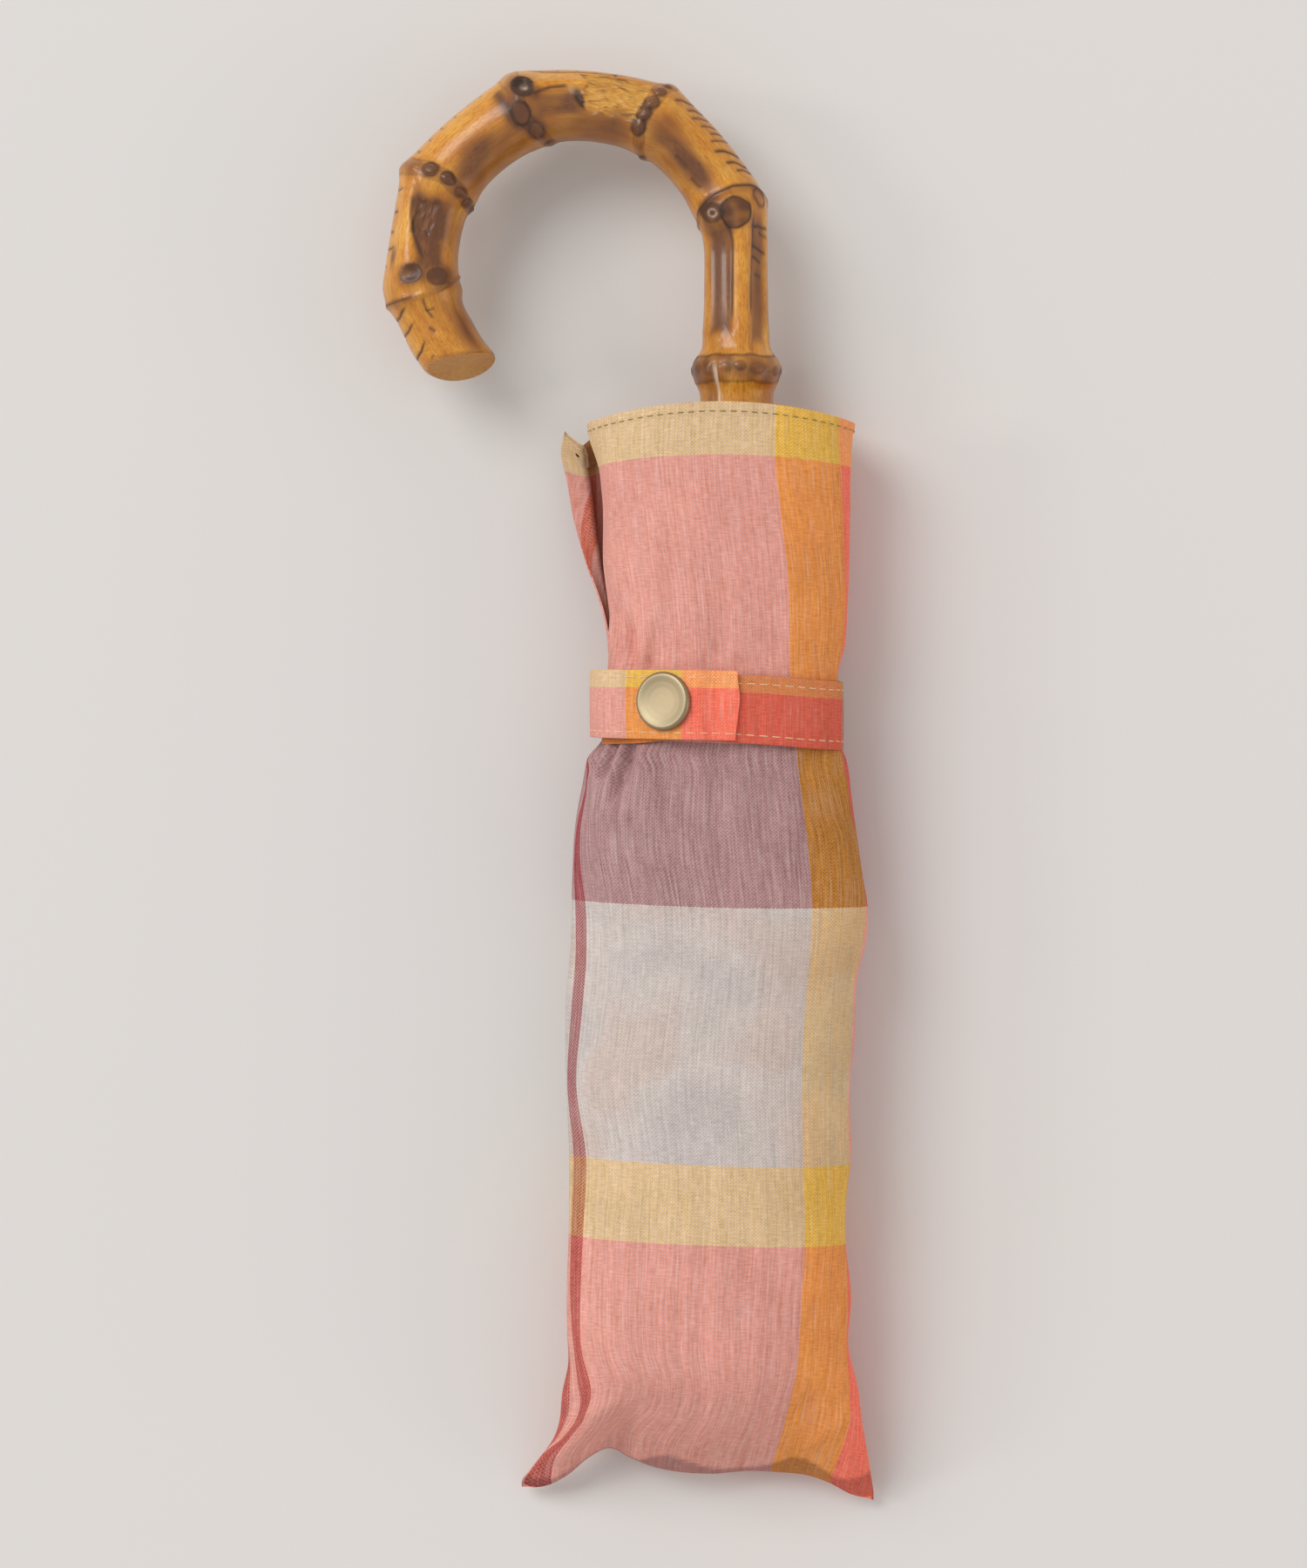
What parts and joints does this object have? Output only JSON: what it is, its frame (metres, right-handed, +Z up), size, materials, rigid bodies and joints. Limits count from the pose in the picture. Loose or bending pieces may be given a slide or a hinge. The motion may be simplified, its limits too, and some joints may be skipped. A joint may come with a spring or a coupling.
{
  "type": "folding umbrella in a sleeve",
  "caption": "Folding umbrella with a root bamboo crook handle and telescopic shaft, lying in a checked cotton sleeve closed by a strap with a press snap.",
  "frame": {"origin": "on the table, under the flat underside of the sleeve, below the shaft axis", "axes": "+Y along the shaft towards the handle, +X to the right of the front, +Z up from the table to the front with the snap"},
  "size_m": [0.1267, 0.3686, 0.0468],
  "materials": {
    "bamboo": "lacquered",
    "steel": "satin",
    "brass": "satin",
    "nylon": "moulded",
    "tip_nylon": "moulded",
    "cotton": "woven check",
    "canopy": "woven check"
  },
  "bodies": {
    "upper_shaft": {"upper_tube": "steel", "top_notch": "nylon", "notch_wire": "steel", "ferrule_tip": "brass"},
    "lower_shaft": {"lower_tube": "steel", "handle_collar": "brass", "bamboo_handle": "bamboo"},
    "runner": {"runner": "nylon"},
    "shaft_catch": {"shaft_catch": "brass"},
    "runner_catch": {"runner_catch": "brass"},
    "sleeve": {"sleeve": "cotton", "strap_under": "cotton", "snap_stud": "brass"},
    "strap_flap": {"strap_flap": "cotton", "snap_cap": "brass", "snap_socket": "brass"},
    "inner_rib_1": {"inner_rib_1": "steel", "canopy_fold_1": "canopy"},
    "outer_rib_1": {"outer_rib_1": "steel", "rib_tip_1": "tip_nylon"},
    "stretcher_1": {"stretcher_1": "steel"},
    "inner_rib_2": {"inner_rib_2": "steel", "canopy_fold_2": "canopy"},
    "outer_rib_2": {"outer_rib_2": "steel", "rib_tip_2": "tip_nylon"},
    "stretcher_2": {"stretcher_2": "steel"},
    "inner_rib_3": {"inner_rib_3": "steel", "canopy_fold_3": "canopy"},
    "outer_rib_3": {"outer_rib_3": "steel", "rib_tip_3": "tip_nylon"},
    "stretcher_3": {"stretcher_3": "steel"},
    "inner_rib_4": {"inner_rib_4": "steel", "canopy_fold_4": "canopy"},
    "outer_rib_4": {"outer_rib_4": "steel", "rib_tip_4": "tip_nylon"},
    "stretcher_4": {"stretcher_4": "steel"},
    "inner_rib_5": {"inner_rib_5": "steel", "canopy_fold_5": "canopy"},
    "outer_rib_5": {"outer_rib_5": "steel", "rib_tip_5": "tip_nylon"},
    "stretcher_5": {"stretcher_5": "steel"},
    "inner_rib_6": {"inner_rib_6": "steel", "canopy_fold_6": "canopy"},
    "outer_rib_6": {"outer_rib_6": "steel", "rib_tip_6": "tip_nylon"},
    "stretcher_6": {"stretcher_6": "steel"}
  },
  "joints": [
    {"name": "shaft_extend", "type": "slide", "parent": "upper_shaft", "child": "lower_shaft", "axis": [0, 1, 0], "range_m": [0, 0.14]},
    {"name": "rib_hinge_1", "type": "hinge", "parent": "upper_shaft", "child": "inner_rib_1", "pos_m": [0.0035, -0.106, 0.02736], "axis": [0.866, 0, -0.5], "range_deg": [0, 78], "deforming": ["canopy_fold_1"]},
    {"name": "stretcher_hinge_1", "type": "hinge", "parent": "inner_rib_1", "child": "stretcher_1", "pos_m": [0.0035, -0.003, 0.02736], "axis": [0.866, 0, -0.5], "range_deg": [-156.1, 0]},
    {"name": "outer_rib_hinge_1", "type": "hinge", "parent": "inner_rib_1", "child": "outer_rib_1", "pos_m": [0.0043, 0.114, 0.02875], "axis": [0.866, 0, -0.5], "range_deg": [-192.1, 0]},
    {"name": "rib_hinge_2", "type": "hinge", "parent": "upper_shaft", "child": "inner_rib_2", "pos_m": [0.007, -0.106, 0.0213], "axis": [0, 0, -1], "range_deg": [0, 78.1], "deforming": ["canopy_fold_2"]},
    {"name": "stretcher_hinge_2", "type": "hinge", "parent": "inner_rib_2", "child": "stretcher_2", "pos_m": [0.007, -0.003, 0.0213], "axis": [0, 0, -1], "range_deg": [-156.1, 0]},
    {"name": "outer_rib_hinge_2", "type": "hinge", "parent": "inner_rib_2", "child": "outer_rib_2", "pos_m": [0.0086, 0.114, 0.0213], "axis": [0, 0, -1], "range_deg": [-192.1, 0]},
    {"name": "rib_hinge_3", "type": "hinge", "parent": "upper_shaft", "child": "inner_rib_3", "pos_m": [0.0035, -0.106, 0.01524], "axis": [-0.866, 0, -0.5], "range_deg": [0, 78.1], "deforming": ["canopy_fold_3"]},
    {"name": "stretcher_hinge_3", "type": "hinge", "parent": "inner_rib_3", "child": "stretcher_3", "pos_m": [0.0035, -0.003, 0.01524], "axis": [-0.866, 0, -0.5], "range_deg": [-156.1, 0]},
    {"name": "outer_rib_hinge_3", "type": "hinge", "parent": "inner_rib_3", "child": "outer_rib_3", "pos_m": [0.0043, 0.114, 0.01385], "axis": [-0.866, 0, -0.5], "range_deg": [-192.1, 0]},
    {"name": "rib_hinge_4", "type": "hinge", "parent": "upper_shaft", "child": "inner_rib_4", "pos_m": [-0.0035, -0.106, 0.01524], "axis": [-0.866, 0, 0.5], "range_deg": [0, 78.1], "deforming": ["canopy_fold_4"]},
    {"name": "stretcher_hinge_4", "type": "hinge", "parent": "inner_rib_4", "child": "stretcher_4", "pos_m": [-0.0035, -0.003, 0.01524], "axis": [-0.866, 0, 0.5], "range_deg": [-156.1, 0]},
    {"name": "outer_rib_hinge_4", "type": "hinge", "parent": "inner_rib_4", "child": "outer_rib_4", "pos_m": [-0.0043, 0.114, 0.01385], "axis": [-0.866, 0, 0.5], "range_deg": [-192.1, 0]},
    {"name": "rib_hinge_5", "type": "hinge", "parent": "upper_shaft", "child": "inner_rib_5", "pos_m": [-0.007, -0.106, 0.0213], "axis": [0, 0, 1], "range_deg": [0, 78.1], "deforming": ["canopy_fold_5"]},
    {"name": "stretcher_hinge_5", "type": "hinge", "parent": "inner_rib_5", "child": "stretcher_5", "pos_m": [-0.007, -0.003, 0.0213], "axis": [0, 0, 1], "range_deg": [-156.1, 0]},
    {"name": "outer_rib_hinge_5", "type": "hinge", "parent": "inner_rib_5", "child": "outer_rib_5", "pos_m": [-0.0086, 0.114, 0.0213], "axis": [0, 0, 1], "range_deg": [-192.1, 0]},
    {"name": "rib_hinge_6", "type": "hinge", "parent": "upper_shaft", "child": "inner_rib_6", "pos_m": [-0.0035, -0.106, 0.02736], "axis": [0.866, 0, 0.5], "range_deg": [0, 78.1], "deforming": ["canopy_fold_6"]},
    {"name": "stretcher_hinge_6", "type": "hinge", "parent": "inner_rib_6", "child": "stretcher_6", "pos_m": [-0.0035, -0.003, 0.02736], "axis": [0.866, 0, 0.5], "range_deg": [-156.1, 0]},
    {"name": "outer_rib_hinge_6", "type": "hinge", "parent": "inner_rib_6", "child": "outer_rib_6", "pos_m": [-0.0043, 0.114, 0.02875], "axis": [0.866, 0, 0.5], "range_deg": [-192.1, 0]},
    {"name": "runner_slide", "type": "slide", "parent": "upper_shaft", "child": "runner", "axis": [0, -1, 0], "range_m": [0, 0.1634]},
    {"name": "sleeve_slide", "type": "slide", "parent": "upper_shaft", "child": "sleeve", "axis": [0, -1, 0], "range_m": [0, 0.341], "deforming": ["sleeve", "strap_under"]},
    {"name": "strap_hinge", "type": "hinge", "parent": "sleeve", "child": "strap_flap", "pos_m": [-0.03425, 0.06435, 0.01397], "axis": [0, -1, 0], "range_deg": [0, 120], "deforming": ["strap_flap"]},
    {"name": "shaft_catch_press", "type": "slide", "parent": "lower_shaft", "child": "shaft_catch", "axis": [0, 0, 1], "range_m": [-0.0012, 0], "stiffness_N_per_m": 400},
    {"name": "runner_catch_press", "type": "slide", "parent": "upper_shaft", "child": "runner_catch", "axis": [0, 0, 1], "range_m": [-0.0014, 0], "stiffness_N_per_m": 400}
  ],
  "couplings": [
    {"joint": "stretcher_hinge_1", "follows": "rib_hinge_1", "ratio": -2},
    {"joint": "outer_rib_hinge_1", "follows": "rib_hinge_1", "ratio": -2.4615},
    {"joint": "rib_hinge_2", "follows": "rib_hinge_1", "ratio": 1},
    {"joint": "stretcher_hinge_2", "follows": "rib_hinge_1", "ratio": -2},
    {"joint": "outer_rib_hinge_2", "follows": "rib_hinge_1", "ratio": -2.4615},
    {"joint": "rib_hinge_3", "follows": "rib_hinge_1", "ratio": 1},
    {"joint": "stretcher_hinge_3", "follows": "rib_hinge_1", "ratio": -2},
    {"joint": "outer_rib_hinge_3", "follows": "rib_hinge_1", "ratio": -2.4615},
    {"joint": "rib_hinge_4", "follows": "rib_hinge_1", "ratio": 1},
    {"joint": "stretcher_hinge_4", "follows": "rib_hinge_1", "ratio": -2},
    {"joint": "outer_rib_hinge_4", "follows": "rib_hinge_1", "ratio": -2.4615},
    {"joint": "rib_hinge_5", "follows": "rib_hinge_1", "ratio": 1},
    {"joint": "stretcher_hinge_5", "follows": "rib_hinge_1", "ratio": -2},
    {"joint": "outer_rib_hinge_5", "follows": "rib_hinge_1", "ratio": -2.4615},
    {"joint": "rib_hinge_6", "follows": "rib_hinge_1", "ratio": 1},
    {"joint": "stretcher_hinge_6", "follows": "rib_hinge_1", "ratio": -2},
    {"joint": "outer_rib_hinge_6", "follows": "rib_hinge_1", "ratio": -2.4615},
    {"joint": "runner_slide", "follows": "rib_hinge_1", "m_per_rad": 0.11986},
    {"joint": "sleeve_slide", "follows": "rib_hinge_1", "m_per_rad": 0.25}
  ]
}
